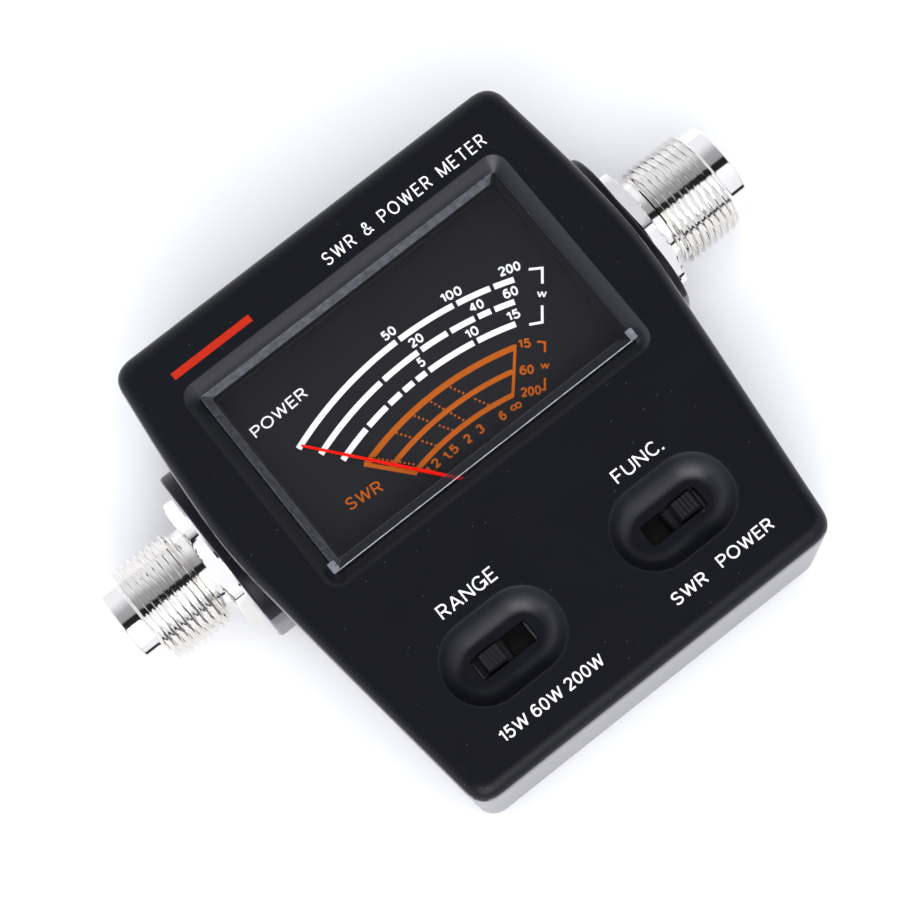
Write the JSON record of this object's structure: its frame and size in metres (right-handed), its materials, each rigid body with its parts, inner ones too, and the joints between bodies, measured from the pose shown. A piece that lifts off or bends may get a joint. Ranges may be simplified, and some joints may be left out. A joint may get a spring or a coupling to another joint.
{
  "type": "swr and power meter",
  "caption": "Pocket SWR and power meter for radio: black case with a windowed needle dial, slide switches below it and a threaded UHF socket on each side.",
  "frame": {"origin": "middle of the bounding box in plan, on the undersides of the four rubber feet, which the meter lies on", "axes": "+X along the two sockets, towards the one on the right of the face; +Y up the face, from the switches to the dial; +Z out of the face"},
  "size_m": [0.1052, 0.078, 0.03],
  "materials": {
    "case_plastic": "moulded ABS, fine satin texture, blue-black",
    "clear_window": "clear moulded acrylic, polished",
    "dial_card": "printed dial sheet, matt charcoal",
    "pointer_red": "bright red paint on a thin blade",
    "black_plastic": "moulded black nylon",
    "nickel_plate": "bright nickel plate on turned brass",
    "ptfe": "turned white PTFE",
    "brass": "bright turned and stamped brass",
    "copper_wire": "enamelled copper winding",
    "magnet_steel": "ground cast magnet",
    "steel": "zinc-plated pressed steel",
    "glass_epoxy": "green glass-epoxy board",
    "phenolic": "brown phenolic moulding",
    "trimmer_body": "blue moulded plastic",
    "resistor_body": "tan lacquered resistor body",
    "ceramic_disc": "orange dipped ceramic",
    "diode_glass": "orange-tinted glass body",
    "red_pvc": "red PVC-covered hook-up wire",
    "black_pvc": "black PVC-covered hook-up wire",
    "black_rubber": "moulded black rubber foot"
  },
  "bodies": {
    "case": {"front_shell": "case_plastic", "rear_cover": "case_plastic", "foot_1": "black_rubber", "foot_2": "black_rubber", "foot_3": "black_rubber", "foot_4": "black_rubber", "case_screw_1": "steel", "case_screw_2": "steel", "case_screw_3": "steel", "case_screw_4": "steel", "meter_window": "clear_window", "dial_plate": "dial_card", "meter_frame": "black_plastic", "yoke_ring": "steel", "magnet_core": "magnet_steel", "hairspring_upper": "brass", "hairspring_lower": "brass", "upper_bridge": "brass", "lower_bridge": "brass", "jewel_screw_upper": "brass", "jewel_screw_lower": "brass", "meter_screw_1": "steel", "meter_screw_2": "steel", "left_socket_shell": "nickel_plate", "left_socket_insulator": "ptfe", "left_socket_contact": "brass", "left_socket_nut": "nickel_plate", "right_socket_shell": "nickel_plate", "right_socket_insulator": "ptfe", "right_socket_contact": "brass", "right_socket_nut": "nickel_plate", "through_line": "brass", "coupler_board": "glass_epoxy", "diode_forward": "diode_glass", "load_resistor_forward": "resistor_body", "capacitor_forward": "ceramic_disc", "diode_reflected": "diode_glass", "load_resistor_reflected": "resistor_body", "capacitor_reflected": "ceramic_disc", "board_screw_1": "steel", "board_screw_2": "steel", "switch_board": "glass_epoxy", "switch_board_screw": "steel", "trimmer_15w": "trimmer_body", "trimmer_60w": "trimmer_body", "trimmer_200w": "trimmer_body", "range_switch_frame": "steel", "range_switch_base": "phenolic", "function_switch_frame": "steel", "function_switch_base": "phenolic", "forward_lead": "red_pvc", "reflected_lead": "black_pvc", "meter_lead_positive": "red_pvc", "meter_lead_negative": "black_pvc"},
    "range_slider": {"range_switch_slider": "black_plastic"},
    "function_slider": {"function_switch_slider": "black_plastic"},
    "pointer_assembly": {"pointer": "pointer_red", "moving_coil": "copper_wire", "pivot_staff_upper": "steel", "pivot_staff_lower": "steel"}
  },
  "joints": [
    {"name": "range_slide", "type": "slide", "parent": "case", "child": "range_slider", "axis": [1, 0, 0], "range_m": [0, 0.0039]},
    {"name": "function_slide", "type": "slide", "parent": "case", "child": "function_slider", "axis": [1, 0, 0], "range_m": [-0.0039, 0]},
    {"name": "pointer_swing", "type": "hinge", "parent": "case", "child": "pointer_assembly", "pos_m": [0, -0.0074, 0.0185], "axis": [0, 0, 1], "range_deg": [-78.4, 0], "stiffness_Nm_per_rad": 0.00002}
  ]
}
